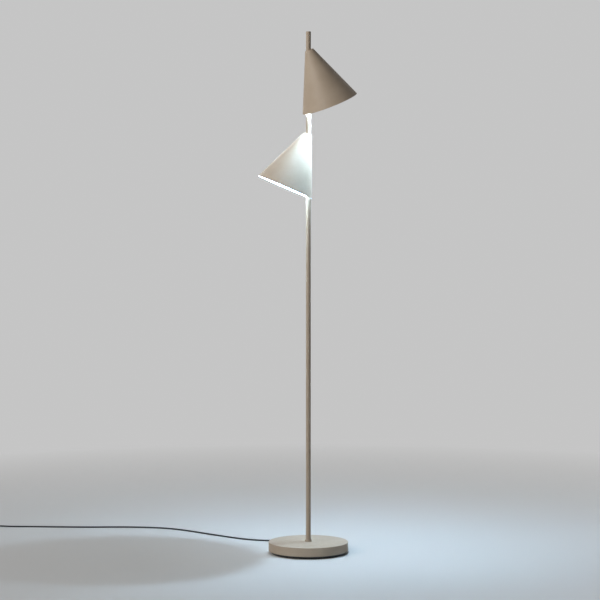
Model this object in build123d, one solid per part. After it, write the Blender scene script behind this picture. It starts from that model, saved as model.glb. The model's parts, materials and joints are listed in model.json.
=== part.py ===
from build123d import *
import math
import os

# Floor lamp with two conical shades that swivel on one slim pole.
# Millimetres, +Z up. The origin is the middle of the underside, on the floor and on the pole's axis.
# +X is the lamp's right and +Y its back, where the cord leaves the base.

# Base
base_radius = 115.0
base_top = 33.0
cover_low = 8.0
cover_wall = 1.5
cover_edge = 1.4
weight_low = 8.6
weight_radius = 113.0
weight_gap = 0.1
plinth_radius = 108.0
plinth_floor = 4.0
plinth_wall = 4.0
pad_radius = 106.0
pad_thickness = 2.0
exit_height = 14.0

# Base fixings
nut_pocket_radius = 18.0
nut_pocket_top = 27.5
washer_radius = 16.0
washer_thickness = 1.5
nut_height = 5.0
nut_flats = 13.0
nipple_radius = 4.0
nipple_bore = 2.7
nipple_low = 20.0
bush_length = 30.0
nipple_short = 3.0
channel_width = 8.0
channel_top = 18.5
plinth_screw_circle = 85.0
plinth_boss = 7.0
plinth_screw = 2.0
plinth_screw_head = 4.0
plinth_screw_top = 16.0
plinth_screw_sink = 0.1
plinth_socket = 1.5
plinth_socket_depth = 1.1
clamp_back = 80.0
clamp_low = 9.2
clamp_thickness = 2.2
clamp_length = 24.0
clamp_width = 9.0
clamp_screw_offset = 9.0
clamp_screw = 1.5
clamp_screw_top = 18.0
clamp_screw_head = 2.8
clamp_head_height = 1.6
clamp_pocket_gap = (1.0, 0.6)

# Cord relief
relief_neck = 4.5
relief_flange = 6.6
relief_collar = 6.2
relief_tip = 3.3
relief_end = 143.0
relief_gap = 0.1
relief_pocket_gap = 0.9
relief_flange_gap = 0.4
relief_flange_thickness = 2.2
relief_collar_height = 2.0
relief_shoulder = (1.4, 0.6)

# Pole
lamp_height = 1500.0
pole_radius = 7.0
pole_bore = 5.5
cap_thickness = 3.0
cap_stem = 12.0
cap_rounding = 1.0
joint_height = 1100.0
joiner_reach = 30.0
collar_radius = 10.0
collar_height = 6.0
collar_edge = 1.2
slot_width = 6.0
slot_height = 8.0
groove_depth = 0.8

# Fits
slip_gap = 0.05
running_gap = 0.06
thread_gap = 0.03
screw_gap = 0.2

# Shades: a cone whose side next to the pole stands upright
half_angle = 23.3
neck_radius = 12.3
shade_slant = 180.0
shade_wall = 1.0
shade_offset = 9.1
hub_length = 26.0
upper_apex = 1474.0
lower_apex = 1233.7
upper_turn = 24.5
lower_turn = 183.4

# Heights below a shade's apex
thrust_drop = 46.0
stop_drop = 50.2
friction_drop = 38.0
slot_drop = 39.0

# Shade bearing
snap_wire = 0.75
snap_drop = 0.05
snap_opening = (4.0, 2.0, 6.0)
stop_pin_radius = 1.5
stop_start = 5.7
stop_reach = 7.75
thrust_pocket_radius = 8.3
tooth_half_angle = 10.5
tooth_gap = 0.12
tooth_rise = 2.0
brake_radius = 2.0
brake_pad_start = 5.5
brake_pad_end = 9.2
brake_pad_gap = 0.03
brake_screw_length = 2.0
brake_socket = 1.1
brake_socket_start = 0.8
lead_pocket = (12.0, 7.0, 10.0)

# Light module, along the shade's own axis from its apex
module_shift = 6.0
post_radius = 5.0
post_bore = 3.4
post_top = 44.0
post_end = 126.0
post_nut_flats = 14.0
sink_top = 118.0
sink_end = 142.0
sink_radius = 19.0
fin_depth = 5.0
fin_pitch = 4.8
fin_slot = 2.0
fin_slots = 4
first_slot = 2.8
nut_thickness = 3.0
board_radius = 15.0
board_thickness = 1.6
board_screw_circle = 12.0
board_screw = 1.2
board_screw_depth = 6.5
board_screw_head = 2.2
board_head_height = 1.5
board_screw_gap = 0.15
chip_radius = 7.0
chip_thickness = 1.2
diffuser_radius = 17.5
diffuser_top = 148.3
diffuser_thickness = 1.5
bezel_lip = 16.2
bezel_end = 151.0
bezel_edge = 0.6
diffuser_gap = 0.1

# Cord
cord_radius = 2.5
lead_radius = 2.0
lead_bend = 8.0
sheath_end = 60.0

# Foot switch, coil and plug
switch_centre = (-1015.0, 446.0)
switch_cord_height = 5.0
switch_length = 80.0
switch_width = 30.0
switch_corner = 12.0
switch_split = 9.0
switch_top = 19.0
switch_wall = 1.8
switch_floor = 2.0
switch_bushing = 6.0
switch_bushing_radii = (3.9, 3.1)
switch_foot_edge = 0.8
switch_rounding = 3.0
switch_screw_place = (30.0, 8.5)
switch_base_post = 4.2
switch_cover_post = 3.2
switch_screw = 1.15
switch_screw_span = (1.6, 15.0)
switch_head = 2.6
switch_head_span = (0.5, 1.9)
switch_pocket = 2.8
switch_base_hole = 1.5
switch_cover_hole = 1.2
switch_hole_top = 15.5
contact_block = (30.0, 12.0, 2.0)
contact_gap = 0.5
button_radius = 10.0
button_gap = 0.35
button_flange = 1.6
button_flange_thickness = 1.5
button_flange_gap = 0.3
button_rounding = 1.2
button_low = 14.0
button_high = 22.5
button_travel = 2.5
coil_centre = (-1094.0, 411.1)
coil_pitch = 5.15
coil_middle = 29.75
coil_turns = 3
coil_layers = 2
coil_low = 1.0
coil_rounding = 1.6
tie_angle = 205.0
tie_width = 8.0
tie_thickness = 0.8
tie_gap = (0.9, 0.2)
plug_start = (-1052.0, 376.4)
plug_relief = 12.0
plug_height = 14.0
plug_length = 34.0
plug_half_widths = [(0.0, 7.0), (14.0, 11.5), (30.0, 17.5), (34.0, 17.5)]
plug_rounding = 2.0
plug_edge = 1.0
plug_relief_radii = (3.3, 5.2)
plug_bore = 16.0
pin_radius = 2.0
pin_reach = 19.0
pin_offset = 9.5
pin_root = 5.0
pin_rounding = 1.2

cord_route = [
    (0.0, 143.0, 14.0),
    (0.0, 159.0, 14.0),
    (-4.0, 175.0, 10.6),
    (-16.0, 188.0, 6.0),
    (-34.0, 195.0, 3.3),
    (-56.0, 197.0, 2.6),
    (-82.0, 195.0, 2.6),
    (-107.0, 192.5, 2.6),
    (-130.0, 193.5, 2.6),
    (-151.0, 199.0, 2.6),
    (-174.0, 209.5, 2.6),
    (-203.0, 226.5, 2.6),
    (-233.0, 250.0, 2.6),
    (-264.0, 276.5, 2.6),
    (-296.0, 305.2, 2.6),
    (-327.0, 333.7, 2.6),
    (-360.0, 363.0, 2.6),
    (-391.0, 388.5, 2.6),
    (-428.0, 411.8, 2.6),
    (-471.0, 428.0, 2.6),
    (-520.0, 437.0, 2.6),
    (-573.0, 440.5, 2.6),
    (-627.0, 440.0, 2.6),
    (-680.0, 438.5, 2.6),
    (-733.0, 440.0, 2.6),
    (-788.0, 443.5, 2.6),
    (-841.0, 447.5, 2.6),
    (-884.0, 449.6, 2.6),
    (-911.0, 449.3, 2.7),
    (-936.0, 447.9, 3.4),
    (-960.0, 446.0, 5.0),
    (-983.0, 446.0, 5.0),
]

link_route = [
    (-1047.0, 446.0, 5.0),
    (-1063.0, 446.0, 5.0),
    (-1079.0, 446.0, 3.9),
    (-1094.0, 446.0, 3.5),
]

tail_route = [
    (-1094.0, 376.2, 8.6),
    (-1081.0, 376.0, 8.4),
    (-1068.0, 376.3, 7.6),
    (-1056.0, 376.4, 7.0),
    (-1045.0, 376.4, 7.0),
]

slope = math.tan(math.radians(half_angle))
tilt_sine = math.sin(math.radians(half_angle))
tilt_cosine = math.cos(math.radians(half_angle))
neck = neck_radius / slope
hub_end = neck + hub_length
rim = (neck_radius / tilt_sine + shade_slant) * tilt_cosine
pole_top = lamp_height - cap_thickness

# A shade is built with the pole on Z and its apex at height 0, leaning towards +X.
shade_axis = Plane(
    origin=(-shade_offset, 0, 0),
    x_dir=(tilt_cosine, 0, tilt_sine),
    z_dir=(tilt_sine, 0, -tilt_cosine),
)
module_axis = shade_axis * Pos(module_shift, 0, 0)
plug_place = Pos(plug_start[0] + plug_relief, plug_start[1], 0)

upward = (Align.CENTER, Align.CENTER, Align.MIN)


def turned(points):
    # A solid of revolution about Z from (radius, height) points.
    return revolve(Plane.XZ * make_face(Polyline(*points, close=True)), Axis.Z)


def disc(radius, low, high):
    return Pos(0, 0, low) * Cylinder(radius, high - low, align=upward)


def ring(outer, inner, low, high):
    return turned([(inner, low), (outer, low), (outer, high), (inner, high)])


def bar(start, direction, radius, length):
    return Plane(origin=start, z_dir=direction) * Cylinder(radius, length, align=upward)


def hex_nut(across_flats, bore, low, high):
    corner = across_flats / 2 / math.cos(math.pi / 6)
    section = RegularPolygon(corner, 6) - Circle(bore)
    return extrude(Plane.XY.offset(low) * section, high - low)


def around(shape, radius, count, start_angle):
    # Copies of a shape that stands on Z, evenly spaced on a circle.
    step = 360 / count
    return [Rot(0, 0, start_angle + i * step) * Pos(radius, 0, 0) * shape for i in range(count)]


# Base


def base_cover():
    # Spun steel pan, open underneath.
    body = disc(base_radius, cover_low, base_top)
    body = fillet(body.edges().sort_by(Axis.Z)[-1], cover_edge)
    body -= disc(base_radius - cover_wall, cover_low - 1, base_top - cover_wall)
    body -= disc(nipple_radius + screw_gap, cover_low, base_top + 1)
    body -= bar((0, base_radius - 5, exit_height), (0, 1, 0), relief_neck + relief_gap, 10)
    return body


def base_weight():
    # Cast iron disc. Its underside holds the fixing nut, the cord channel and the cord clamp.
    top = base_top - cover_wall - weight_gap
    body = disc(weight_radius, weight_low, top)
    body -= disc(nipple_radius + screw_gap, weight_low - 1, top + 1)
    body -= disc(nut_pocket_radius, weight_low - 1, nut_pocket_top)
    depth = channel_top - weight_low + 1
    body -= Pos(0, base_radius / 2, channel_top - depth / 2) * Box(channel_width, base_radius + 10, depth)
    body -= bar((0, 105, exit_height), (0, 1, 0), relief_flange + relief_pocket_gap, 10)
    length_gap, width_gap = clamp_pocket_gap
    pocket = Box(clamp_length + length_gap, clamp_width + width_gap, 2 * clamp_thickness)
    body -= Pos(0, clamp_back, clamp_low) * pocket
    for place in clamp_places():
        body -= place * disc(clamp_screw + 0.1, clamp_low, clamp_screw_top + 1)
    hole = disc(plinth_screw + 0.05, weight_low - 1, plinth_screw_top + 2)
    for place in around(hole, plinth_screw_circle, 4, 45):
        body -= place
    return body


def plinth():
    # Recessed foot that leaves a shadow gap under the cover.
    body = disc(plinth_radius, pad_thickness, weight_low)
    hollow = disc(plinth_radius - plinth_wall, plinth_floor, weight_low + 1)
    for boss in around(disc(plinth_boss, plinth_floor, weight_low), plinth_screw_circle, 4, 45):
        hollow -= boss
    body -= hollow
    bore = disc(plinth_screw + screw_gap, 0, weight_low + 1)
    recess = disc(plinth_screw_head + 0.3, 0, plinth_floor)
    for place in around(bore + recess, plinth_screw_circle, 4, 45):
        body -= place
    return body


def foot_pad():
    return disc(pad_radius, 0, pad_thickness)


def plinth_screws():
    head_low = pad_thickness + plinth_screw_sink
    screw = disc(plinth_screw_head, head_low, plinth_floor)
    screw += disc(plinth_screw, plinth_floor, plinth_screw_top)
    screw -= disc(plinth_socket, pad_thickness, head_low + plinth_socket_depth)
    return Compound(children=around(screw, plinth_screw_circle, 4, 45))


def fixing_nipple():
    return ring(nipple_radius, nipple_bore, nipple_low, base_top + bush_length - nipple_short)


def nipple_washer():
    low = nut_pocket_top - washer_thickness
    return ring(washer_radius, nipple_radius + screw_gap, low, nut_pocket_top)


def nipple_nut():
    high = nut_pocket_top - washer_thickness
    return hex_nut(nut_flats, nipple_radius + thread_gap, high - nut_height, high)


def pole_collar():
    inner = pole_radius + slip_gap
    top = base_top + collar_height
    return turned([
        (inner, base_top),
        (collar_radius, base_top),
        (collar_radius, top - collar_edge),
        (collar_radius - collar_edge, top),
        (inner, top),
    ])


def clamp_places():
    return [Pos(side, clamp_back, 0) for side in (-clamp_screw_offset, clamp_screw_offset)]


def cord_clamp():
    plate = Box(clamp_length, clamp_width, clamp_thickness)
    body = Pos(0, clamp_back, clamp_low + clamp_thickness / 2) * plate
    for place in clamp_places():
        body -= place * disc(clamp_screw + screw_gap, clamp_low - 1, clamp_low + clamp_thickness + 1)
    return body


def clamp_screws():
    head = disc(clamp_screw_head, clamp_low - clamp_head_height, clamp_low)
    screw = head + disc(clamp_screw, clamp_low, clamp_screw_top)
    return Compound(children=[place * screw for place in clamp_places()])


def cord_relief():
    # Moulded sleeve, turned about the cord where it passes the cover's wall.
    bore = cord_radius + slip_gap
    wall_in = base_radius - cover_wall - relief_flange_gap
    flange_in = wall_in - relief_flange_thickness
    collar_out = base_radius + relief_collar_height
    shoulder_in, shoulder_out = relief_shoulder
    profile = [
        (bore, flange_in),
        (relief_flange, flange_in),
        (relief_flange, wall_in),
        (relief_neck, wall_in),
        (relief_neck, base_radius),
        (relief_collar, base_radius),
        (relief_collar, collar_out),
        (relief_collar - shoulder_in, collar_out + shoulder_out),
        (relief_tip, relief_end),
        (bore, relief_end),
    ]
    return Plane(origin=(0, 0, exit_height), z_dir=(0, 1, 0)) * turned(profile)


def cord_inlet():
    # Sheathed cord from the relief's mouth to where its sheath ends in the channel.
    return bar((0, sheath_end, exit_height), (0, 1, 0), cord_radius, relief_end - sheath_end)


def pole_lead():
    # Inner lead from the sheath's end, up the nipple and the pole to the upper shade.
    path = FilletPolyline(
        (0, sheath_end, exit_height),
        (0, 0, exit_height),
        (0, 0, upper_apex - slot_drop),
        radius=lead_bend,
    )
    return sweep(Plane(origin=path @ 0, z_dir=path % 0) * Circle(lead_radius), path=path)


# Pole


def pole_insert():
    # Threaded bush brazed into the pole's foot.
    return ring(pole_bore - slip_gap, nipple_radius + thread_gap, base_top, base_top + bush_length)


def pole_lower():
    return ring(pole_radius, pole_bore, base_top, joint_height)


def pole_joiner():
    low = joint_height - joiner_reach
    return ring(pole_bore - slip_gap, lead_radius + 1, low, joint_height + joiner_reach)


def pole_upper():
    body = ring(pole_radius, pole_bore, joint_height, pole_top)
    for apex, turn in ((upper_apex, upper_turn), (lower_apex, lower_turn)):
        thrust = apex - thrust_drop
        groove_low = thrust - 2 * (snap_wire + snap_drop)
        groove = ring(pole_radius + 1, pole_radius - groove_depth, groove_low, thrust + 0.02)
        pin_hole = Rot(0, 0, turn) * bar((-4, 0, apex - stop_drop), (-1, 0, 0), stop_pin_radius + 0.02, 6)
        opening = Box(pole_radius, slot_width, slot_height)
        slot = Rot(0, 0, turn) * Pos(pole_radius, 0, apex - slot_drop) * opening
        body = body - groove - pin_hole - slot
    return body


def pole_cap():
    body = disc(pole_radius, pole_top, lamp_height)
    body = fillet(body.edges().sort_by(Axis.Z)[-1], cap_rounding)
    return body + disc(pole_bore - slip_gap, pole_top - cap_stem, pole_top)


def snap_ring(apex, turn):
    # Round wire ring in the pole's groove. The hub rests on it.
    thrust = apex - thrust_drop
    body = Pos(0, 0, thrust - snap_wire - snap_drop) * Torus(pole_radius, snap_wire)
    return body - Rot(0, 0, turn + 90) * Pos(pole_radius, 0, thrust) * Box(*snap_opening)


def stop_pin(apex, turn):
    start = (-stop_start, 0, apex - stop_drop)
    return Rot(0, 0, turn) * bar(start, (-1, 0, 0), stop_pin_radius, stop_reach - stop_start)


# Shade, with the pole on Z and its apex at height 0


def outer_at(distance):
    return distance * slope


def inner_at(distance):
    return distance * slope - shade_wall / tilt_cosine


def shade_shell():
    return shade_axis * turned([
        (outer_at(neck), neck),
        (outer_at(rim), rim),
        (inner_at(rim), rim),
        (inner_at(neck), neck),
    ])


def stop_tooth():
    # Upright tooth inside the hub that meets the pole's stop pin at either end of the turn.
    inner = pole_radius + tooth_gap
    body = ring(thrust_pocket_radius + 0.4, inner, -stop_drop - stop_pin_radius, -stop_drop + tooth_rise)
    width = 2 * (pole_radius + 0.5) * math.tan(math.radians(tooth_half_angle))
    return body & (Pos(pole_radius + 1, 0, -stop_drop) * Box(8, width, 6))


def shade_hub():
    # Turned plug that closes the cone's neck and runs on the pole.
    body = shade_axis * turned([
        (0, neck),
        (inner_at(neck) - slip_gap, neck),
        (inner_at(hub_end) - slip_gap, hub_end),
        (0, hub_end),
    ])
    body -= disc(pole_radius + running_gap, -80, 0)
    body -= disc(thrust_pocket_radius, -80, -thrust_drop)
    body -= Pos(pole_radius + lead_pocket[0] / 3, 0, -slot_drop) * Box(*lead_pocket)
    body -= module_axis * disc(post_radius + thread_gap, post_top, hub_end + 1)
    body -= bar((0, 5, -friction_drop), (0, 1, 0), brake_radius + slip_gap, 12)
    return body + stop_tooth()


def friction_pad():
    # Nylon brake pad, hollowed to the pole's curve.
    start = (0, brake_pad_start, -friction_drop)
    body = bar(start, (0, 1, 0), brake_radius, brake_pad_end - brake_pad_start)
    return body - disc(pole_radius + brake_pad_gap, -80, 0)


def friction_screw():
    body = bar((0, brake_pad_end, -friction_drop), (0, 1, 0), brake_radius, brake_screw_length)
    socket = extrude(RegularPolygon(brake_socket, 6), brake_screw_length)
    start = (0, brake_pad_end + brake_socket_start, -friction_drop)
    return body - Plane(origin=start, z_dir=(0, 1, 0)) * socket


def module_post():
    return module_axis * ring(post_radius, post_bore, post_top, post_end)


def post_nuts():
    nuts = []
    for low in (hub_end, sink_top - nut_thickness):
        nut = hex_nut(post_nut_flats, post_radius + thread_gap, low, low + nut_thickness)
        nuts.append(module_axis * nut)
    return Compound(children=nuts)


def heat_sink():
    body = ring(sink_radius, post_radius + thread_gap, sink_top, sink_end)
    for i in range(fin_slots):
        low = sink_top + first_slot + i * fin_pitch
        body -= ring(sink_radius + 1, sink_radius - fin_depth, low, low + fin_slot)
    hole = disc(board_screw + slip_gap, sink_end - board_screw_depth - 0.5, sink_end + 1)
    for place in around(hole, board_screw_circle, 3, 0):
        body -= place
    return module_axis * body


def led_board():
    body = disc(board_radius, sink_end, sink_end + board_thickness)
    hole = disc(board_screw + board_screw_gap, sink_end - 1, sink_end + 3)
    for place in around(hole, board_screw_circle, 3, 0):
        body -= place
    return module_axis * body


def led_chip():
    low = sink_end + board_thickness
    return module_axis * disc(chip_radius, low, low + chip_thickness)


def board_screws():
    low = sink_end + board_thickness
    head = disc(board_screw_head, low, low + board_head_height)
    screw = head + disc(board_screw, sink_end - board_screw_depth, low)
    return Compound(children=[module_axis * body for body in around(screw, board_screw_circle, 3, 0)])


def led_bezel():
    lip = diffuser_top + diffuser_thickness
    inner = diffuser_radius + diffuser_gap
    return module_axis * turned([
        (inner, sink_end),
        (sink_radius, sink_end),
        (sink_radius, bezel_end - bezel_edge),
        (sink_radius - bezel_edge, bezel_end),
        (bezel_lip, bezel_end),
        (bezel_lip, lip),
        (inner, lip),
    ])


def diffuser():
    return module_axis * disc(diffuser_radius, diffuser_top, diffuser_top + diffuser_thickness)


shade_pieces = {
    "shade_shell": shade_shell,
    "shade_hub": shade_hub,
    "friction_pad": friction_pad,
    "friction_screw": friction_screw,
    "module_post": module_post,
    "post_nuts": post_nuts,
    "heat_sink": heat_sink,
    "led_board": led_board,
    "led_chip": led_chip,
    "board_screws": board_screws,
    "led_bezel": led_bezel,
    "diffuser": diffuser,
}


# Cord, switch and plug


def route_radii(route):
    # The largest arc that each corner's two runs allow.
    points = [Vector(*point) for point in route]
    radii = []
    for before, corner, after in zip(points, points[1:], points[2:]):
        turn = (corner - before).get_angle(after - corner)
        run = min((corner - before).length, (after - corner).length)
        radii.append(0.45 * run / math.tan(math.radians(turn) / 2))
    return radii


def cord_tube(name, route):
    radii = route_radii(route)
    path = FilletPolyline(*route, radius=radii)
    tube = sweep(Plane(origin=path @ 0, z_dir=path % 0) * Circle(cord_radius), path=path)
    print(name, "length", round(path.length, 1), "smallest radius", round(min(radii), 1))
    print(name, "radii", [round(radius) for radius in radii])
    print(name, "volume", round(tube.volume), "of", round(math.pi * cord_radius**2 * path.length))
    return tube


def cord_coil():
    # Outer shape of the wound turns: two layers of three, side by side.
    section = RectangleRounded(coil_turns * coil_pitch, coil_layers * coil_pitch, coil_rounding)
    height = coil_low + coil_layers * coil_pitch / 2
    return Pos(*coil_centre, 0) * revolve(Plane.XZ * Pos(coil_middle, height) * section, Axis.Z)


def coil_tie():
    # Strap round the bundle of turns, under the coil and over it.
    side_gap, top_gap = tie_gap
    wide = coil_turns * coil_pitch + side_gap
    tall = coil_low + coil_layers * coil_pitch + top_gap - tie_thickness
    band = Rectangle(wide + 2 * tie_thickness, tall + 2 * tie_thickness) - Rectangle(wide, tall)
    frame = extrude(Plane.XZ * band, tie_width / 2, both=True)
    place = Pos(*coil_centre, 0) * Rot(0, 0, tie_angle)
    return place * Pos(coil_middle, 0, tall / 2 + tie_thickness) * frame


def rounded_block(length, width, corner, low, high):
    return extrude(Plane.XY.offset(low) * RectangleRounded(length, width, corner), high - low)


def switch_posts(radius, low, high):
    side, back = switch_screw_place
    return [Pos(x, back, 0) * disc(radius, low, high) for x in (-side, side)]


def switch_inside(low, high):
    length = switch_length - 2 * switch_wall
    width = switch_width - 2 * switch_wall
    return rounded_block(length, width, switch_corner - switch_wall, low, high)


def switch_base():
    body = rounded_block(switch_length, switch_width, switch_corner, 0, switch_split)
    body = chamfer(body.faces().sort_by(Axis.Z)[0].edges(), switch_foot_edge)
    hollow = switch_inside(switch_floor, switch_split + 1)
    for post in switch_posts(switch_base_post, switch_floor, switch_split):
        hollow -= post
    body -= hollow
    start = switch_length / 2 - 1
    for side in (-1, 1):
        mouth = Plane(origin=(side * start, 0, switch_cord_height), z_dir=(side, 0, 0))
        body += mouth * Cone(*switch_bushing_radii, switch_bushing + 1, align=upward)
    bore = cord_radius + slip_gap
    body -= bar((-switch_length, 0, switch_cord_height), (1, 0, 0), bore, 2 * switch_length)
    holes = switch_posts(switch_base_hole, 1, switch_split + 1)
    for hole in holes + switch_posts(switch_pocket, -1, switch_floor):
        body -= hole
    return body


def switch_cover():
    body = rounded_block(switch_length, switch_width, switch_corner, switch_split, switch_top)
    body = fillet(body.faces().sort_by(Axis.Z)[-1].edges(), switch_rounding)
    hollow = switch_inside(switch_split - 1, switch_top - switch_wall)
    for post in switch_posts(switch_cover_post, switch_split - 1, switch_top):
        hollow -= post
    body -= hollow
    body -= disc(button_radius + button_gap, switch_split - 1, switch_top + 1)
    for hole in switch_posts(switch_cover_hole, switch_split - 1, switch_hole_top):
        body -= hole
    return body


def switch_screws():
    shanks = switch_posts(switch_screw, *switch_screw_span)
    heads = switch_posts(switch_head, *switch_head_span)
    return Compound(children=[shank + head for shank, head in zip(shanks, heads)])


def switch_contacts():
    # Contact block between the two cord ends, just clear of the pressed button.
    return rounded_block(*contact_block, switch_floor, button_low - button_travel - contact_gap)


def switch_button():
    body = disc(button_radius, button_low, button_high)
    body = fillet(body.edges().sort_by(Axis.Z)[-1], button_rounding)
    high = switch_top - switch_wall - button_flange_gap
    return body + disc(button_radius + button_flange, high - button_flange_thickness, high)


switch_pieces = {
    "switch_base": switch_base,
    "switch_cover": switch_cover,
    "switch_screws": switch_screws,
    "switch_contacts": switch_contacts,
    "switch_button": switch_button,
}


def plug_body():
    # Flat two-pin plug lying on its broad face, with a short relief at the cord.
    axis_height = plug_height / 2
    outline = plug_half_widths + [(x, -y) for x, y in reversed(plug_half_widths)]
    body = extrude(make_face(Polyline(*outline, close=True)), plug_height)
    body = fillet(body.edges().filter_by(Axis.Z), plug_rounding)
    body = chamfer(body.faces().filter_by(Axis.Z).edges(), plug_edge)
    mouth = Plane(origin=(-plug_relief, 0, axis_height), z_dir=(1, 0, 0))
    body += mouth * Cone(*plug_relief_radii, plug_relief + 1, align=upward)
    body -= bar((-plug_relief - 1, 0, axis_height), (1, 0, 0), cord_radius + slip_gap, plug_bore)
    for side in (-pin_offset, pin_offset):
        start = (plug_length - pin_root, side, axis_height)
        body -= bar(start, (1, 0, 0), pin_radius + thread_gap, pin_root + 1)
    return plug_place * body


def plug_pins():
    pins = []
    for side in (-pin_offset, pin_offset):
        start = (plug_length - pin_root, side, plug_height / 2)
        pin = bar(start, (1, 0, 0), pin_radius, pin_reach + pin_root)
        pins.append(fillet(pin.edges().sort_by(Axis.X)[-1], pin_rounding))
    return plug_place * Compound(children=pins)


def lamp_nodes():
    nodes = {
        "base_cover": base_cover(),
        "base_weight": base_weight(),
        "plinth": plinth(),
        "foot_pad": foot_pad(),
        "plinth_screws": plinth_screws(),
        "fixing_nipple": fixing_nipple(),
        "nipple_washer": nipple_washer(),
        "nipple_nut": nipple_nut(),
        "pole_collar": pole_collar(),
        "pole_insert": pole_insert(),
        "pole_lower": pole_lower(),
        "pole_joiner": pole_joiner(),
        "pole_upper": pole_upper(),
        "pole_cap": pole_cap(),
        "cord_relief": cord_relief(),
        "cord_clamp": cord_clamp(),
        "clamp_screws": clamp_screws(),
        "cord_inlet": cord_inlet(),
        "pole_lead": pole_lead(),
        "cord_run": cord_tube("cord_run", cord_route),
        "cord_link": cord_tube("cord_link", link_route),
        "cord_tail": cord_tube("cord_tail", tail_route),
        "cord_coil": cord_coil(),
        "coil_tie": coil_tie(),
        "plug_body": plug_body(),
        "plug_pins": plug_pins(),
    }
    for name, apex, turn in (("upper", upper_apex, upper_turn), ("lower", lower_apex, lower_turn)):
        nodes[name + "_snap_ring"] = snap_ring(apex, turn)
        nodes[name + "_stop_pin"] = stop_pin(apex, turn)
        for piece, make in shade_pieces.items():
            nodes[name + "_" + piece] = Pos(0, 0, apex) * Rot(0, 0, turn) * make()
    for piece, make in switch_pieces.items():
        nodes[piece] = Pos(*switch_centre, 0) * make()
    return nodes


os.makedirs("parts", exist_ok=True)
for node, shape in lamp_nodes().items():
    export_step(shape, f"parts/{node}.step")
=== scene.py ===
import json
import math
import bmesh
import bpy
import numpy as np
from mathutils import Matrix, Vector


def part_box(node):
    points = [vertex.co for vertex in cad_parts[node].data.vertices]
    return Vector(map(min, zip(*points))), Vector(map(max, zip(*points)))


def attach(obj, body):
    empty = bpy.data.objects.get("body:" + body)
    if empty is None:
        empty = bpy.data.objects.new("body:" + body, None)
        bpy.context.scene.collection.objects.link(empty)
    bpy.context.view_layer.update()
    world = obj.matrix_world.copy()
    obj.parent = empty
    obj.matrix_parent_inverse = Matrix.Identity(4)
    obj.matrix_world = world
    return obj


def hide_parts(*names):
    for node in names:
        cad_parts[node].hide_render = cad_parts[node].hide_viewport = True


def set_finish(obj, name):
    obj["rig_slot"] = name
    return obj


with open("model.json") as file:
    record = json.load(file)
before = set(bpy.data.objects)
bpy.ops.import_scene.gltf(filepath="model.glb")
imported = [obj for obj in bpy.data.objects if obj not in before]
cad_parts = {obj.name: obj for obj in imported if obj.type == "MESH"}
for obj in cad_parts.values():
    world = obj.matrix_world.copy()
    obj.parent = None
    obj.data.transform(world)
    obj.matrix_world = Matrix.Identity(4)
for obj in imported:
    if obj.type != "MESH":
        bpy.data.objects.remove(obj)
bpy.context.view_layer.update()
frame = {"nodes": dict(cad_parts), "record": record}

nodes = frame["nodes"]
record = frame["record"]
print("frame:", len(nodes), "nodes")

# camera, level with the lower shade and tipped a little to the floor
camera = {
    "place": (-0.0241, -5.678, 1.0070),
    "tip": 2.773,
    "lens": 118.61,
    "sensor": 36.0,
    "sees": (0.05, 200),
}

eye = bpy.data.objects.new("eye", bpy.data.cameras.new("eye"))
eye.data.sensor_width = camera["sensor"]
eye.data.lens = camera["lens"]
eye.data.clip_start, eye.data.clip_end = camera["sees"]
eye.location = camera["place"]
eye.rotation_euler = (math.radians(90 - camera["tip"]), 0, 0)
bpy.context.scene.collection.objects.link(eye)
bpy.context.scene.camera = eye
print("camera: set")


# mesh tools


def newObject(name, data, body):
    piece = bpy.data.objects.new(name, data)
    bpy.context.scene.collection.objects.link(piece)
    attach(piece, body)
    return piece


def meshFrom(name, builder):
    mesh = bpy.data.meshes.new(name)
    builder.to_mesh(mesh)
    builder.free()
    mesh.shade_smooth()
    return mesh


def turnedMesh(name, profile, segments, place, closed=True, coats=None):
    # profile of (radius, height) points, turned about the place matrix's own Z
    # coats gives each stretch of the profile its material slot
    builder = bmesh.new()
    rings = []
    for radius, height in profile:
        ring = []
        for step in range(segments):
            angle = 2 * math.pi * step / segments
            point = Vector((radius * math.cos(angle), radius * math.sin(angle), height))
            ring.append(builder.verts.new(place @ point))
        rings.append(ring)
    pairs = list(zip(rings, rings[1:]))
    if closed:
        pairs.append((rings[-1], rings[0]))
    for stretch, (lower, upper) in enumerate(pairs):
        for step in range(segments):
            after = (step + 1) % segments
            face = builder.faces.new((lower[step], lower[after], upper[after], upper[step]))
            face.material_index = coats[stretch] if coats else 0
    if not closed:
        builder.faces.new(rings[0])
        builder.faces.new(rings[-1])
    bmesh.ops.recalc_face_normals(builder, faces=builder.faces)
    return meshFrom(name, builder)


def rounded(corners, radius, steps):
    # the same closed outline with each sharp corner cut to a short arc
    outline = []
    count = len(corners)
    for index, corner in enumerate(corners):
        here = Vector(corner)
        before = Vector(corners[index - 1])
        after = Vector(corners[(index + 1) % count])
        reach = min(radius, (before - here).length * 0.45, (after - here).length * 0.45)
        start = here + (before - here).normalized() * reach
        end = here + (after - here).normalized() * reach
        for step in range(steps + 1):
            share = step / steps
            outline.append(start * (1 - share) ** 2 + here * 2 * share * (1 - share) + end * share ** 2)
    return outline


# the cord: one flexible lead from the base, through the foot switch, to the coil and the plug

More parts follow.
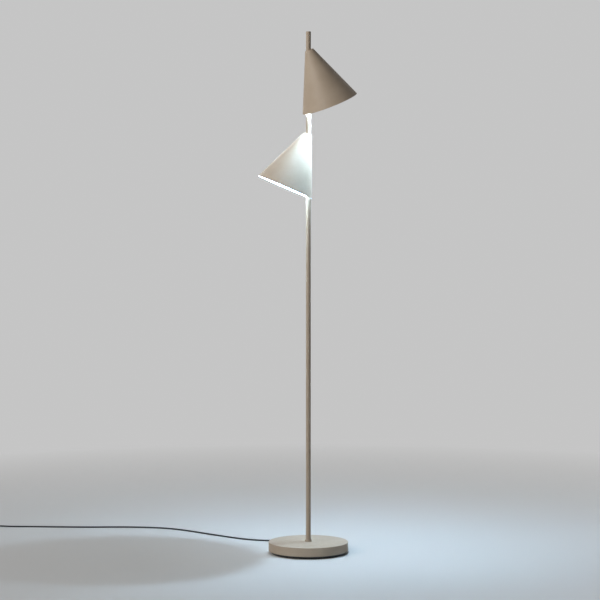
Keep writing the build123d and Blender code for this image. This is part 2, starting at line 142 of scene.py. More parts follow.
cord = {
    "thickness": 0.005,
    "length": 2.11,
    "route": [
        (0.0, 0.143, 0.014),
        (0.0, 0.159, 0.014),
        (-0.004, 0.175, 0.0106),
        (-0.016, 0.188, 0.006),
        (-0.034, 0.195, 0.0033),
        (-0.056, 0.197, 0.0026),
        (-0.082, 0.195, 0.0026),
        (-0.107, 0.1925, 0.0026),
        (-0.130, 0.1935, 0.0026),
        (-0.151, 0.199, 0.0026),
        (-0.174, 0.2095, 0.0026),
        (-0.203, 0.2265, 0.0026),
        (-0.233, 0.250, 0.0026),
        (-0.264, 0.2765, 0.0026),
        (-0.296, 0.3052, 0.0026),
        (-0.327, 0.3337, 0.0026),
        (-0.360, 0.363, 0.0026),
        (-0.391, 0.3885, 0.0026),
        (-0.428, 0.4118, 0.0026),
        (-0.471, 0.428, 0.0026),
        (-0.520, 0.437, 0.0026),
        (-0.573, 0.4405, 0.0026),
        (-0.627, 0.440, 0.0026),
        (-0.680, 0.4385, 0.0026),
        (-0.733, 0.440, 0.0026),
        (-0.788, 0.4435, 0.0026),
        (-0.841, 0.4475, 0.0026),
        (-0.884, 0.4496, 0.0026),
        (-0.911, 0.4493, 0.0027),
        (-0.936, 0.4479, 0.0034),
        (-0.960, 0.446, 0.005),
        (-0.983, 0.446, 0.005),
        (-1.047, 0.446, 0.005),
        (-1.063, 0.446, 0.005),
        (-1.079, 0.446, 0.0039),
    ],
    "tail": [
        (-1.081, 0.376, 0.0084),
        (-1.068, 0.3763, 0.0076),
        (-1.056, 0.3764, 0.007),
        (-1.045, 0.3764, 0.007),
    ],
    "coilCentre": (-1.094, 0.4111),
    "turns": 4.5,
    "pointsPerTurn": 16,
    "spacing": 0.00515,
    "outerTurn": 0.0349,
    "firstHeight": 0.0035,
    # where in its turns the coil steps in, back out, and up to its second layer
    "inward": ((0.80, 0.98), (1.80, 1.98)),
    "outward": ((3.52, 3.70), (4.30, 4.50)),
    "upward": (2.70, 2.88),
    "layerHeight": 0.99,  # of the spacing
    "stepsBetweenPoints": 8,
    "roundSteps": 5,
}


def eased(value, start, end):
    share = min(max((value - start) / (end - start), 0), 1)
    return share * share * (3 - 2 * share)


def coilPoints():
    # outer, middle and inner turn below, then inner, middle and outer turn above
    # the curve cuts inside its points, so they are spread a little
    spread = 1 / math.cos(math.pi / cord["pointsPerTurn"])
    rise = cord["spacing"] * cord["layerHeight"]
    points = []
    for step in range(round(cord["turns"] * cord["pointsPerTurn"]) + 1):
        turn = step / cord["pointsPerTurn"]
        inward = sum(eased(turn, *span) for span in cord["inward"])
        outward = sum(eased(turn, *span) for span in cord["outward"])
        radius = (cord["outerTurn"] - cord["spacing"] * (inward - outward)) * spread
        height = cord["firstHeight"] + rise * eased(turn, *cord["upward"])
        angle = math.pi / 2 + 2 * math.pi * turn
        points.append((
            cord["coilCentre"][0] + radius * math.cos(angle),
            cord["coilCentre"][1] + radius * math.sin(angle),
            height,
        ))
    return points


def makeCord():
    points = cord["route"] + coilPoints() + cord["tail"]
    curve = bpy.data.curves.new("floorCord", "CURVE")
    curve.dimensions = "3D"
    spline = curve.splines.new("NURBS")
    spline.points.add(len(points) - 1)
    for knot, point in zip(spline.points, points):
        knot.co = (*point, 1)
    spline.order_u = 3
    spline.use_endpoint_u = True
    curve.resolution_u = cord["stepsBetweenPoints"]
    holder = bpy.data.objects.new("cordLine", curve)
    line = bpy.data.meshes.new_from_object(holder)
    path = [tuple(point.co) for point in line.vertices]
    curve.bevel_depth = cord["thickness"] / 2
    curve.bevel_resolution = cord["roundSteps"]
    curve.use_fill_caps = True
    tube = bpy.data.meshes.new_from_object(holder)
    tube.name = "floorCord"
    bpy.data.curves.remove(curve)
    bpy.data.meshes.remove(line)
    piece = newObject("floorCord", tube, "stand")
    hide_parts("cord_run", "cord_link", "cord_tail", "cord_coil")
    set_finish(piece, "cord_jacket")
    return piece, path


floorCord, cordPath = makeCord()
print("cord: laid")


# moulded relief where the cord leaves the base, with grooves that let it bend

relief = {
    "wall": 0.115,
    "wallThickness": 0.0019,
    "end": 0.143,
    "height": 0.014,
    "bore": 0.00256,
    "flange": 0.0066,
    "flangeThickness": 0.0022,
    "neck": 0.0045,
    "collar": 0.0062,
    "collarLength": 0.002,
    "collarEdge": 0.0004,
    "body": 0.0049,
    "bodyStart": 0.003,
    "bodyEnd": 0.0015,
    "tip": 0.0033,
    "tipEdge": 0.0006,
    "grooves": 6,
    "grooveSteps": 8,
    "grooveDepth": 0.0009,
    "grooveFade": 0.45,
    "segments": 48,
}


def reliefProfile():
    facts = relief
    wall = facts["wall"]
    inside = wall - facts["wallThickness"]
    collar = facts["collar"]
    collarEnd = wall + facts["collarLength"]
    edge = facts["collarEdge"]
    profile = [
        (facts["bore"], inside - facts["flangeThickness"]),
        (facts["flange"], inside - facts["flangeThickness"]),
        (facts["flange"], inside),
        (facts["neck"], inside),
        (facts["neck"], wall),
        (collar - edge, wall),
        (collar, wall + edge),
        (collar, collarEnd - edge),
        (collar - edge, collarEnd),
    ]
    start = wall + facts["bodyStart"]
    length = facts["end"] - facts["bodyEnd"] - start
    stations = facts["grooves"] * facts["grooveSteps"]
    for station in range(stations + 1):
        share = station / stations
        outer = facts["body"] + (facts["tip"] - facts["body"]) * share
        wave = math.cos(2 * math.pi * facts["grooves"] * share)
        depth = facts["grooveDepth"] * (1 - facts["grooveFade"] * share)
        profile.append((outer - depth * max(0.0, -wave) ** 0.5, start + length * share))
    edge = facts["tipEdge"]
    profile.append((facts["tip"] - edge / 3, facts["end"] - edge))
    profile.append((facts["tip"] - edge, facts["end"]))
    profile.append((facts["bore"], facts["end"]))
    return profile


def makeRelief():
    place = Matrix.Translation((0, 0, relief["height"])) @ Matrix.Rotation(-math.pi / 2, 4, "X")
    mesh = turnedMesh("cordRelief", reliefProfile(), relief["segments"], place)
    piece = newObject("cordRelief", mesh, "stand")
    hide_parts("cord_relief")
    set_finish(piece, "black_plastic")
    return piece


cordRelief = makeRelief()
print("relief: turned")


# shades: spun cones, painted outside and white inside, with a softened rim

shade = {
    "halfAngle": 23.3,
    "neck": 0.0123,
    "slant": 0.180,
    "wall": 0.001,
    "offset": 0.0091,
    "round": 0.0004,
    "lipShares": (0.15, 0.35, 0.65, 0.85),  # of the wall
    "lipSlope": 0.00048,
    "edgeRow": 0.0005,
    "liningStart": 0.020,
    "segments": 240,
    "rows": 14,
    "places": {"upper": (1.4740, 24.5), "lower": (1.2337, 183.4)},
}


def shadePlace(which):
    # matrix that lays +Z along the shade's own axis, from its apex down to its mouth
    height, turn = shade["places"][which]
    apex = Matrix.Translation((0, 0, height)) @ Matrix.Rotation(math.radians(turn), 4, "Z")
    lean = Matrix.Rotation(math.pi - math.radians(shade["halfAngle"]), 4, "Y")
    return apex @ Matrix.Translation((-shade["offset"], 0, 0)) @ lean


def makeShade(which):
    lean = math.radians(shade["halfAngle"])
    start = shade["neck"] / math.tan(lean)
    end = start + shade["slant"] * math.cos(lean)
    wall = shade["wall"] / math.cos(lean)
    low = end - shade["round"]
    # a close row at each end keeps the soft shading of the rim and neck off the flat of the cone
    rows = np.linspace(start + shade["edgeRow"], low - shade["edgeRow"], shade["rows"])
    heights = [start, *rows, low]
    outer = [(height * math.tan(lean), height) for height in heights]
    inner = [(radius - wall, height) for radius, height in reversed(outer)]
    rimRadius = end * math.tan(lean)
    lip = []
    for share in shade["lipShares"]:
        lip.append((rimRadius - wall * share, end - shade["lipSlope"] * abs(share - 0.5)))
    # paint outside and over half of the lip, the white lining with its painted glow from there to just
    # under the hub's lower edge
    paint, lining = 0, 1
    half = len(lip) // 2
    lined = [lining if height > start + shade["liningStart"] else paint for radius, height in inner[1:]]
    coats = [paint] * (len(outer) + half) + [lining] * half + lined + [paint]
    name = which + "SpunShade"
    mesh = turnedMesh(name, outer + lip + inner, shade["segments"], shadePlace(which), coats=coats)
    piece = newObject(name, mesh, which + "_shade")
    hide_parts(which + "_shade_shell")
    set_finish(piece, "powder_coat")
    return piece


spunShades = [makeShade(which) for which in ("upper", "lower")]
print("shades: spun")


# strap round the coil, with rounded folds

strap = {
    "centre": (-1.094, 0.4111),
    "angle": 205.0,
    "middle": 0.02975,
    "inner": (0.01635, 0.0107),
    "thickness": 0.0008,
    "width": 0.008,
    "corner": 0.0032,
    "cornerSteps": 6,
    "edge": 0.00018,
    "edgeSteps": 2,
}


def makeStrap():
    facts = strap
    middle = facts["thickness"] / 2
    reach, rise = (size / 2 + middle for size in facts["inner"])
    corners = [(-reach, -rise), (reach, -rise), (reach, rise), (-reach, rise)]
    line = rounded(corners, facts["corner"], facts["cornerSteps"])
    builder = bmesh.new()
    place = Matrix.Translation((*facts["centre"], 0))
    place = place @ Matrix.Rotation(math.radians(facts["angle"]), 4, "Z")
    place = place @ Matrix.Translation((facts["middle"], 0, rise + middle))
    count = len(line)
    rows = []
    for index, point in enumerate(line):
        along = (line[(index + 1) % count] - line[index - 1]).normalized()
        out = Vector((along.y, -along.x))
        row = []
        for side, lift in ((-1, -1), (1, -1), (1, 1), (-1, 1)):
            spot = point + out * lift * middle
            row.append(builder.verts.new(place @ Vector((spot.x, side * facts["width"] / 2, spot.y))))
        rows.append(row)
    for index in range(count):
        after = rows[(index + 1) % count]
        for side in range(4):
            other = (side + 1) % 4
            builder.faces.new((rows[index][side], rows[index][other], after[other], after[side]))
    bmesh.ops.recalc_face_normals(builder, faces=builder.faces)
    piece = newObject("coilStrap", meshFrom("coilStrap", builder), "stand")
    bevel = piece.modifiers.new("soft edges", "BEVEL")
    bevel.width = facts["edge"]
    bevel.segments = facts["edgeSteps"]
    bevel.limit_method = "ANGLE"
    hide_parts("coil_tie")
    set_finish(piece, "tie_strap")
    return piece


coilStrap = makeStrap()
print("strap: looped")


# foot key of the switch, dished with two raised rings

key = {
    "centre": (-1.015, 0.446),
    "radius": 0.010,
    "low": 0.014,
    "high": 0.0225,
    "flange": 0.0116,
    "flangeTop": 0.0169,
    "flangeThickness": 0.0015,
    "edge": 0.0014,
    "edgeSteps": 6,
    "dish": 0.0007,
    "ringSpacing": 0.0029,
    "ringDepth": 0.00028,
    "topSteps": 40,
    "smallest": 0.00002,
    "segments": 72,
}


def keyProfile():
    facts = key
    side = facts["radius"]
    flangeLow = facts["flangeTop"] - facts["flangeThickness"]
    shoulder = facts["high"] - facts["edge"]
    flat = side - facts["edge"]
    profile = [
        (0.0, facts["low"]),
        (side, facts["low"]),
        (side, flangeLow),
        (facts["flange"], flangeLow),
        (facts["flange"], facts["flangeTop"]),
        (side, facts["flangeTop"]),
        (side, shoulder),
    ]
    for step in range(1, facts["edgeSteps"] + 1):
        turn = math.pi / 2 * step / facts["edgeSteps"]
        profile.append((flat + facts["edge"] * math.cos(turn), shoulder + facts["edge"] * math.sin(turn)))
    for step in range(1, facts["topSteps"] + 1):
        radius = flat * (1 - step / facts["topSteps"])
        groove = facts["ringDepth"] * (0.5 - 0.5 * math.cos(2 * math.pi * radius / facts["ringSpacing"]))
        dish = facts["dish"] * (1 - (radius / flat) ** 2)
        profile.append((radius, facts["high"] - dish - groove))
    # the two ends stay a hair off the axis, so that each closes with a face
    return [(max(radius, facts["smallest"]), height) for radius, height in profile]


def makeKey():
    place = Matrix.Translation((*key["centre"], 0))
    mesh = turnedMesh("footKey", keyProfile(), key["segments"], place, closed=False)
    piece = newObject("footKey", mesh, "foot_switch_button")
    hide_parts("switch_button")
    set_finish(piece, "switch_key")
    return piece


footKey = makeKey()
print("key: turned")


# moulded plug: a ribbed neck that swells into a flat grip with soft edges

plug = {
    "start": (-1.052, 0.3764),
    "middle": 0.007,
    "points": 56,
    # along, half width, half height, squareness, which is 2 for a circle
    "stations": [
        (0.0080, 0.0001, 0.0001, 2.0), (0.0080, 0.00265, 0.00265, 2.0), (0.0000, 0.00265, 0.00265, 2.0),
        (0.0000, 0.0031, 0.0031, 2.0), (0.0005, 0.0035, 0.0035, 2.0),
    ],
    "neck": (0.0010, 0.0100, 0.0036, 0.0048),
    "ribs": 4,
    "ribSteps": 8,
    "ribDepth": 0.0005,
    "round": 2.0,
    "grip": [
        (0.0108, 0.0052, 0.0050, 2.0), (0.0118, 0.0062, 0.0057, 2.3), (0.0132, 0.0074, 0.0064, 2.8),
        (0.0160, 0.0086, 0.0068, 3.4), (0.0200, 0.0099, 0.0070, 4.0), (0.0250, 0.0116, 0.0070, 4.6),
        (0.0310, 0.0140, 0.0070, 5.2), (0.0370, 0.0162, 0.0070, 5.8), (0.0415, 0.0173, 0.0070, 6.4),
        (0.0443, 0.0175, 0.0070, 6.6), (0.0452, 0.0173, 0.0068, 6.4), (0.0458, 0.0169, 0.0064, 6.0),
        (0.0460, 0.0163, 0.0058, 5.6), (0.0460, 0.0001, 0.0001, 5.6),
    ],
}


def plugStations():
    stations = list(plug["stations"])
    start, end, thin, thick = plug["neck"]
    steps = plug["ribs"] * plug["ribSteps"]
    for step in range(steps + 1):
        share = step / steps
        swell = plug["ribDepth"] * (0.5 - 0.5 * math.cos(2 * math.pi * plug["ribs"] * share))
        radius = thin + (thick - thin) * share - swell
        stations.append((start + (end - start) * share, radius, radius, plug["round"]))
    return stations + plug["grip"]


def makePlug():
    builder = bmesh.new()
    rings = []
    startX, startY = plug["start"]
    for along, width, height, square in plugStations():
        ring = []
        for step in range(plug["points"]):
            turn = 2 * math.pi * step / plug["points"]
            side = math.copysign(abs(math.cos(turn)) ** (2 / square), math.cos(turn))
            rise = math.copysign(abs(math.sin(turn)) ** (2 / square), math.sin(turn))
            spot = (startX + along, startY + width * side, plug["middle"] + height * rise)
            ring.append(builder.verts.new(spot))
        rings.append(ring)
    for ring, other in zip(rings, rings[1:]):
        for here in range(plug["points"]):
            there = (here + 1) % plug["points"]
            builder.faces.new((ring[here], ring[there], other[there], other[here]))
    builder.faces.new(rings[0])
    builder.faces.new(reversed(rings[-1]))
    bmesh.ops.recalc_face_normals(builder, faces=builder.faces)
    piece = newObject("mouldedPlug", meshFrom("mouldedPlug", builder), "stand")
    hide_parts("plug_body")
    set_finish(piece, "black_plastic")
    return piece


mouldedPlug = makePlug()
print("plug: moulded")


# shader tools: a wrapped socket that does sums, and a finish that makes any other node


class Wire:
    def __init__(self, finish, socket):
        self.finish = finish
        self.socket = socket

    def join(self, operation, first, second):
        return self.finish.make("ShaderNodeMath", {"operation": operation}, {0: first, 1: second})

    def __add__(self, other):
        return self.join("ADD", self, other)

    def __radd__(self, other):
        return self.join("ADD", other, self)

    def __sub__(self, other):
        return self.join("SUBTRACT", self, other)

    def __rsub__(self, other):
        return self.join("SUBTRACT", other, self)

    def __mul__(self, other):
        return self.join("MULTIPLY", self, other)

    def __rmul__(self, other):
        return self.join("MULTIPLY", other, self)

    def __gt__(self, other):
        return self.join("GREATER_THAN", self, other)

    def __lt__(self, other):
        return self.join("LESS_THAN", self, other)


class Finish:
    def __init__(self, name, owner=None):
        self.material = owner or bpy.data.materials.new(name)
        self.material.use_nodes = True
        self.tree = self.material.node_tree
        self.tree.nodes.clear()
        self.column = 0

    def make(self, kind, settings=None, sockets=None, output=0):
        node = self.tree.nodes.new(kind)
        self.column += 1
        node.location = (200 * self.column, -160 * (self.column % 5))
        for name, value in (settings or {}).items():
            setattr(node, name, value)
        for name, value in (sockets or {}).items():
            self.feed(node.inputs[name], value)
        return Wire(self, node.outputs[output]) if node.outputs else None

    def feed(self, socket, value):
        if isinstance(value, Wire):
            self.tree.links.new(value.socket, socket)
        elif hasattr(value, "__len__") and len(value) == 3 and socket.type == "RGBA":
            socket.default_value = (*value, 1)
        else:
            socket.default_value = value

    def place(self):
        # the piece's own coordinates, in metres
        return self.make("ShaderNodeTexCoord", output=3)

    def noise(self, scale, detail, roughness, vector=None):
        values = {"Scale": scale, "Detail": detail, "Roughness": roughness}
        values["Vector"] = vector or self.place()
        return self.make("ShaderNodeTexNoise", None, values)

    def range(self, value, low, high, newLow=0.0, newHigh=1.0):
        values = {"Value": value, "From Min": low, "From Max": high, "To Min": newLow, "To Max": newHigh}
        return self.make("ShaderNodeMapRange", {"clamp": True}, values)

    def spread(self, noise, low=0.0, high=1.0):
        # the values a noise mostly has, stretched from low to high
        return self.range(noise, 0.3, 0.7, low, high)

    def blend(self, share, first, second):
        settings = {"data_type": "RGBA", "clamp_factor": True}
        return self.make("ShaderNodeMix", settings, {0: share, 6: first, 7: second}, output=2)

    def stretched(self, scale):
        return self.make("ShaderNodeVectorMath", {"operation": "MULTIPLY"}, {0: self.place(), 1: scale})

    def placeAlong(self, axis):
        return self.make("ShaderNodeSeparateXYZ", None, {0: self.place()}, output="XYZ".index(axis))

    def bump(self, height, strength, distance, normal=None):
        values = {"Height": height, "Strength": strength, "Distance": distance}
        if normal:
            values["Normal"] = normal
        return self.make("ShaderNodeBump", None, values)

    def paint(self, sockets):
        surface = self.make("ShaderNodeBsdfPrincipled", None, sockets)
        self.make("ShaderNodeOutputMaterial", None, {"Surface": surface})
        return self.material


def linear(red, green, blue):
    # screen colour, 0 to 255, as scene colour
    def one(value):
        share = value / 255
        return share / 12.92 if share <= 0.04045 else ((share + 0.055) / 1.055) ** 2.4
    return one(red), one(green), one(blue)


def dimmer(colour, share=0.94):
    return tuple(value * share for value in colour)


# finishes

tones = {
    "iron": linear(62, 60, 58),
    "rust": linear(92, 66, 50),
    "rubber": linear(24, 24, 25),
    "rubberDust": linear(66, 64, 61),
    "jacket": linear(21, 21, 22),
    "jacketDust": linear(58, 56, 54),
    "strap": linear(22, 22, 24),
    "strapTuft": linear(52, 52, 54),
    "nickel": linear(205, 202, 194),
    "wornNickel": linear(182, 176, 162),
    "pinSleeve": linear(26, 26, 27),
    "mask": linear(236, 237, 232),
    "maskDeep": linear(226, 227, 220),
    "phosphor": linear(236, 204, 92),
    "phosphorDeep": linear(222, 186, 70),
    "lining": linear(238, 238, 234),
    "liningDeep": linear(231, 230, 224),
    "opal": linear(238, 240, 241),
    "blackPlastic": linear(27, 27, 28),
    "keyPlastic": linear(44, 44, 46),
    "whitePlastic": linear(232, 232, 228),
    "nylon": linear(222, 216, 200),
    "zinc": linear(196, 200, 204),
    "tubeSteel": linear(176, 176, 178),
    "springSteel": linear(150, 152, 156),
    "aluminium": linear(208, 209, 211),
}

powderCoat = {
    "sand": linear(166, 150, 132),
    "sandPale": linear(170, 154, 136),
    "sandDeep": linear(161, 145, 127),
    "speck": linear(144, 129, 112),
    "roughness": (0.54, 0.66),
    # dust starts on the base's top and is gone a little way up the pole
    "dust": linear(196, 190, 180),
    "dustMost": 0.12,
    "dustLow": (0.0325, 0.0331),
    "dustHigh": (0.05, 0.04),
}


def sandPaint(finish):
    # fired powder: soft clouds, fine pepper, and a gentle pebbled skin
    clouds = finish.noise(scale=26, detail=3, roughness=0.55)
    pepper = finish.noise(scale=1500, detail=2, roughness=0.6)
    ground = finish.blend(finish.range(clouds, 0.35, 0.65), powderCoat["sandDeep"], powderCoat["sandPale"])
    ground = finish.blend(0.55, powderCoat["sand"], ground)
    colour = finish.blend(finish.range(pepper, 0.60, 0.72, 0, 0.35), ground, powderCoat["speck"])
    rubbed = finish.noise(scale=90, detail=3, roughness=0.6)
    sheen = finish.spread(rubbed, *powderCoat["roughness"])
    pebbles = finish.noise(scale=850, detail=2, roughness=0.45)
    waves = finish.noise(scale=210, detail=1, roughness=0.4)
    normal = finish.bump(waves, strength=0.2, distance=0.00005)
    normal = finish.bump(pebbles, strength=0.5, distance=0.00006, normal=normal)
    return colour, sheen, normal


def powderFinish():
    finish = Finish("sand powder coat")
    colour, sheen, normal = sandPaint(finish)
    height = finish.placeAlong("Z")
    near = finish.range(height, *powderCoat["dustLow"]) * finish.range(height, *powderCoat["dustHigh"])
    drift = finish.noise(scale=60, detail=4, roughness=0.6)
    settled = near * finish.range(drift, 0.45, 0.75, 0, powderCoat["dustMost"])
    colour = finish.blend(settled, colour, powderCoat["dust"])
    return finish.paint({
        "Base Color": colour,
        "Roughness": sheen + settled * 0.25,
        "Normal": normal,
        "Metallic": 0.0,
        "Specular IOR Level": 0.36,
    })


# strength of each shade's opal disc, which is the lamp itself, and of the painted glow given to each white
# lining
light = {
    "colour": (0.52, 0.76, 1.0),
    "upper": {"disc": 5300.0, "lining": 60.0},
    "lower": {"disc": 650.0, "lining": 7.0},
}


def paintedGlowLining(which):
    # satin white enamel inside a shade, with a painted glow: its own emission stands in for the lamp light
    # that the enamel scatters
    finish = Finish(which + " shade lining")
    mottle = finish.spread(finish.noise(scale=40, detail=2, roughness=0.5))
    skin = finish.noise(scale=900, detail=2, roughness=0.5)
    return finish.paint({
        "Base Color": finish.blend(mottle, tones["lining"], tones["liningDeep"]),
        "Roughness": finish.spread(skin, 0.42, 0.54),
        "Normal": finish.bump(skin, strength=0.3, distance=0.00005),
        # painted glow of scattered lamp light; the lining is no lamp of its own
        "Emission Color": finish.blend(mottle, light["colour"], dimmer(light["colour"])),
        "Emission Strength": light[which]["lining"],
    })


def plasticFinish(name, tone, roughness, grain=2600):
    # moulded plastic with a fine spark-eroded grain
    finish = Finish(name)
    pale = tuple(min(1, value * 1.25 + 0.002) for value in tone)
    clouds = finish.spread(finish.noise(scale=45, detail=3, roughness=0.6))
    grains = finish.noise(scale=grain, detail=2, roughness=0.5)
    rubbed = finish.range(finish.noise(scale=130, detail=4, roughness=0.65), 0.55, 0.8)
    return finish.paint({
        "Base Color": finish.blend(clouds * 0.7 + rubbed * 0.3, tone, pale),
        "Roughness": finish.spread(grains, roughness - 0.06, roughness + 0.06) - rubbed * 0.05,
        "Normal": finish.bump(grains, strength=0.6, distance=0.00004),
    })


def metalFinish(name, tone, roughness, streak=(1, 1, 1), scale=500):
    # plated or bare metal with fine tool marks
    finish = Finish(name)
    marks = finish.noise(scale=scale, detail=3, roughness=0.6, vector=finish.stretched(streak))
    stain = finish.range(finish.noise(scale=70, detail=3, roughness=0.6), 0.4, 0.7)
    return finish.paint({
        "Base Color": finish.blend(stain * 0.6, tone, dimmer(tone, 0.82)),
        "Metallic": 1.0,
        "Roughness": finish.spread(marks, roughness - 0.08, roughness + 0.1),
        "Normal": finish.bump(marks, strength=0.4, distance=0.00003),
    })


def ironFinish():
    # sand-cast iron under thin primer
    finish = Finish("cast iron")
    lumps = finish.noise(scale=320, detail=4, roughness=0.65)
    rust = finish.range(finish.noise(scale=28, detail=4, roughness=0.6), 0.56, 0.75, 0, 0.5)
    return finish.paint({
        "Base Color": finish.blend(rust, tones["iron"], tones["rust"]),
        "Roughness": finish.spread(lumps, 0.62, 0.85),
        "Normal": finish.bump(lumps, strength=0.8, distance=0.0005),
    })


def rubberFinish():
    finish = Finish("foot rubber")
    skin = finish.noise(scale=900, detail=3, roughness=0.6)
    dust = finish.range(finish.noise(scale=60, detail=4, roughness=0.7), 0.5, 0.75, 0, 0.4)
    return finish.paint({
        "Base Color": finish.blend(dust, tones["rubber"], tones["rubberDust"]),
        "Roughness": finish.spread(skin, 0.78, 0.92),
        "Normal": finish.bump(skin, strength=0.6, distance=0.0002),
    })


def cordFinish():
    # soft vinyl jacket, slightly rippled along its length, with floor dust
    finish = Finish("cord jacket")
    ripple = finish.noise(scale=160, detail=2, roughness=0.5)
    skin = finish.noise(scale=2200, detail=2, roughness=0.5)
    dust = finish.range(finish.noise(scale=75, detail=4, roughness=0.65), 0.5, 0.78, 0, 0.35)
    normal = finish.bump(ripple, strength=0.4, distance=0.0003)
    return finish.paint({
        "Base Color": finish.blend(dust, tones["jacket"], tones["jacketDust"]),
        "Roughness": finish.spread(skin, 0.40, 0.52) + dust * 0.3,
        "Normal": finish.bump(skin, strength=0.4, distance=0.00005, normal=normal),
    })


def strapFinish():
    # hook-and-loop strap: felted threads
    finish = Finish("tie strap")
    threads = finish.noise(scale=2600, detail=3, roughness=0.7)
    tufted = finish.range(finish.noise(scale=700, detail=3, roughness=0.6), 0.35, 0.7)
    return finish.paint({
        "Base Color": finish.blend(tufted, tones["strap"], tones["strapTuft"]),
        "Roughness": finish.spread(threads, 0.82, 0.96),
        "Normal": finish.bump(threads, strength=0.9, distance=0.0003),
        "Sheen Weight": 0.3,
    })


pins = {"sleeveEnd": (0.0148, 0.0150)}


def pinFinish():
    # nickel pins with a moulded sleeve at the root
    finish = Finish("plug pins")
    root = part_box("plug_pins")[0].x
    along = finish.placeAlong("X")
    sleeve = 1 - finish.range(along, *(root + reach for reach in pins["sleeveEnd"]))
    marks = finish.noise(scale=900, detail=3, roughness=0.6, vector=finish.stretched((0.15, 1, 1)))
    wear = finish.noise(scale=160, detail=3, roughness=0.6, vector=finish.stretched((0.2, 1, 1)))
    metal = finish.blend(finish.range(wear, 0.45, 0.7), tones["nickel"], tones["wornNickel"])
    return finish.paint({
        "Base Color": finish.blend(sleeve, metal, tones["pinSleeve"]),
        "Metallic": 1 - sleeve,
        "Roughness": sleeve * 0.45 + (1 - sleeve) * finish.spread(marks, 0.2, 0.36),
        "Normal": finish.bump(marks, strength=0.3, distance=0.00003),
    })


def boardFinish():
    # white solder mask over copper
    finish = Finish("light board")
    mask = finish.noise(scale=700, detail=2, roughness=0.5)
    share = finish.spread(mask)
    return finish.paint({
        "Base Color": finish.blend(share, tones["mask"], tones["maskDeep"]),
        "Roughness": finish.spread(mask, 0.3, 0.42),
        "Normal": finish.bump(mask, strength=0.3, distance=0.00003),
    })


def phosphorFinish():
    finish = Finish("light chip")
    grain = finish.noise(scale=1800, detail=2, roughness=0.5)
    share = finish.spread(grain)
    return finish.paint({
        "Base Color": finish.blend(share, tones["phosphor"], tones["phosphorDeep"]),
        "Roughness": finish.spread(grain, 0.5, 0.65),
        "Normal": finish.bump(grain, strength=0.4, distance=0.00004),
    })


def opalFinish(which):
    # frosted disc, lit from behind, with a faint cloud in it
    finish = Finish(which + " opal diffuser")
    frost = finish.noise(scale=1500, detail=2, roughness=0.5)
    cloud = finish.spread(finish.noise(scale=60, detail=2, roughness=0.5))
    return finish.paint({
        "Base Color": tones["opal"],
        "Roughness": finish.spread(frost, 0.45, 0.6),
        "Normal": finish.bump(frost, strength=0.4, distance=0.00004),
        "Emission Color": finish.blend(cloud, light["colour"], dimmer(light["colour"])),
        "Emission Strength": light[which]["disc"],
    })


finishes = {
    "powder_coat": powderFinish(),
    "cast_iron": ironFinish(),
    "black_plastic": plasticFinish("black plastic", tones["blackPlastic"], 0.46),
    "foot_rubber": rubberFinish(),
    "zinc_steel": metalFinish("zinc plate", tones["zinc"], 0.34),
    "tube_steel": metalFinish("bare steel tube", tones["tubeSteel"], 0.38, (1, 1, 0.08)),
    "cord_jacket": cordFinish(),
    "tie_strap": strapFinish(),
    "switch_key": plasticFinish("switch key", tones["keyPlastic"], 0.40, 1900),
    "pin_metal": pinFinish(),
    "spring_steel": metalFinish("spring steel", tones["springSteel"], 0.30, (1, 1, 1), 900),
    "nylon": plasticFinish("natural nylon", tones["nylon"], 0.5),
    "bare_aluminium": metalFinish("turned aluminium", tones["aluminium"], 0.36, (1, 1, 1), 700),
    "white_plastic": plasticFinish("white plastic", tones["whitePlastic"], 0.42),
    "board_white": boardFinish(),
    "led_phosphor": phosphorFinish(),
    "opal": opalFinish("upper"),
}
# white linings, each with the painted glow of scattered lamp light
paintedGlowLinings = {which: paintedGlowLining(which) for which in ("upper", "lower")}
lowerOpal = opalFinish("lower")
print("finishes:", len(finishes) + len(paintedGlowLinings) + 1)


def dress(piece, *materials):
    slots = piece.data.materials
    while len(slots) < len(materials):
        slots.append(None)
    for index, material in enumerate(materials):
        slots[index] = material


for subpart in record["subparts"]:
    dress(nodes[subpart["node"]], finishes[subpart["material_slot"]])
for piece in (floorCord, cordRelief, coilStrap, footKey, mouldedPlug):
    dress(piece, finishes[piece["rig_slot"]])
# outer paint and the white lining with its painted glow
for piece, which in zip(spunShades, paintedGlowLinings):
    dress(piece, finishes[piece["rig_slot"]], paintedGlowLinings[which])
dress(nodes["lower_diffuser"], lowerOpal)
print("nodes: dressed")


# floor, backdrop and soft lamps

studio = {
    "floorTone": (0.56, 0.54, 0.515),
    "floorRoughness": 0.9,
    "floorShine": 0.1,
    "floorReach": 60.0,
    "floorPoints": 96,
    "fade": (0.5, 2.6),
    "backTone": (0.56, 0.56, 0.56),
    "seenBy": ("Is Camera Ray", "Is Glossy Ray", "Is Transmission Ray"),
    "skyStrength": 0.12,
    # place, size, power, colour, height aimed at, spread in degrees
    "lamps": {
        "keyLamp": ((-3.4, -2.5, 3.0), 2.2, 24.5, (1.0, 0.985, 0.96), 1.35, 60),
        "fillLamp": ((3.0, -5.0, 1.6), 3.0, 5.0, (0.97, 0.985, 1.0), 0.8, 180),
        "backLamp": ((-2.6, 3.6, 3.0), 2.4, 14.0, (0.97, 0.985, 1.0), 0.8, 180),
        "topLamp": ((0.0, 2.6, 4.0), 3.6, 40.0, (1.0, 1.0, 1.0), 0.8, 180),
    },
}


def backdropSeen(finish):
    # 1 for what the eye, a metal or a glass sees, 0 for light that falls on the lamp
    rays = [finish.make("ShaderNodeLightPath", output=kind) for kind in studio["seenBy"]]
    return (rays[0] + rays[1] + rays[2]) > 0


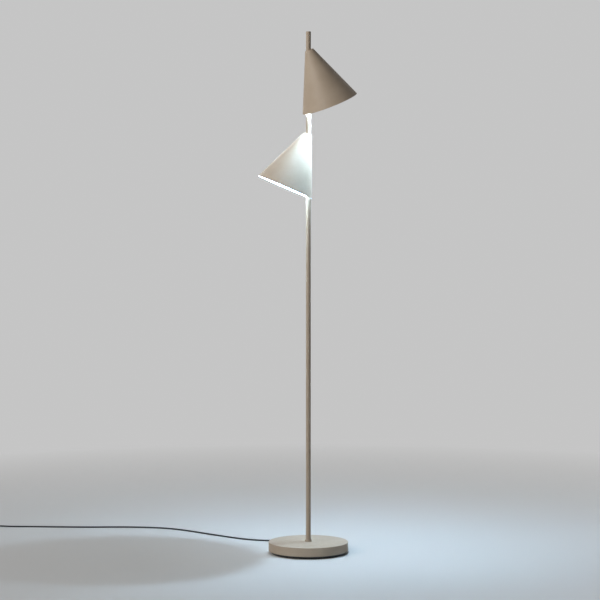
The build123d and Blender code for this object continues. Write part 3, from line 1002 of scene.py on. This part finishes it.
def floorFinish():
    # pale floor that fades into the backdrop far away, and is clear from below
    finish = Finish("studio floor")
    surface = finish.make("ShaderNodeBsdfPrincipled", None, {
        "Base Color": studio["floorTone"],
        "Roughness": studio["floorRoughness"],
        "Specular IOR Level": studio["floorShine"],
    })
    haze = finish.make("ShaderNodeEmission", None, {"Color": studio["backTone"]})
    reach = finish.make("ShaderNodeVectorMath", {"operation": "LENGTH"}, {0: finish.place()}, output=1)
    far = finish.range(reach, *studio["fade"]) * backdropSeen(finish)
    ground = finish.make("ShaderNodeMixShader", None, {0: far, 1: surface, 2: haze})
    under = finish.make("ShaderNodeNewGeometry", output="Backfacing")
    clear = finish.make("ShaderNodeBsdfTransparent")
    mixed = finish.make("ShaderNodeMixShader", None, {0: under, 1: ground, 2: clear})
    finish.make("ShaderNodeOutputMaterial", None, {"Surface": mixed})
    return finish.material


def makeFloor():
    builder = bmesh.new()
    count, reach = studio["floorPoints"], studio["floorReach"]
    bmesh.ops.create_circle(builder, cap_ends=True, segments=count, radius=reach)
    mesh = meshFrom("studioFloor", builder)
    floor = bpy.data.objects.new("studioFloor", mesh)
    bpy.context.scene.collection.objects.link(floor)
    dress(floor, floorFinish())


def makeSky():
    world = bpy.data.worlds.new("studio")
    bpy.context.scene.world = world
    finish = Finish("studio", world)
    even = finish.make("ShaderNodeBackground", None, {"Strength": studio["skyStrength"]})
    back = finish.make("ShaderNodeBackground", None, {"Color": studio["backTone"]})
    mixed = finish.make("ShaderNodeMixShader", None, {0: backdropSeen(finish), 1: even, 2: back})
    finish.make("ShaderNodeOutputWorld", None, {"Surface": mixed})


def makeLamps():
    for name, (place, size, power, colour, height, spread) in studio["lamps"].items():
        lamp = bpy.data.lights.new(name, "AREA")
        lamp.shape = "DISK"
        lamp.size = size
        lamp.energy = power
        lamp.color = colour
        lamp.spread = math.radians(spread)
        holder = bpy.data.objects.new(name, lamp)
        bpy.context.scene.collection.objects.link(holder)
        holder.location = place
        aim = Vector((0, 0, height)) - Vector(place)
        holder.rotation_euler = aim.to_track_quat("-Z", "Y").to_euler()


makeFloor()
makeSky()
makeLamps()
print("studio: lit")

bpy.context.scene.view_settings.view_transform = "Standard"
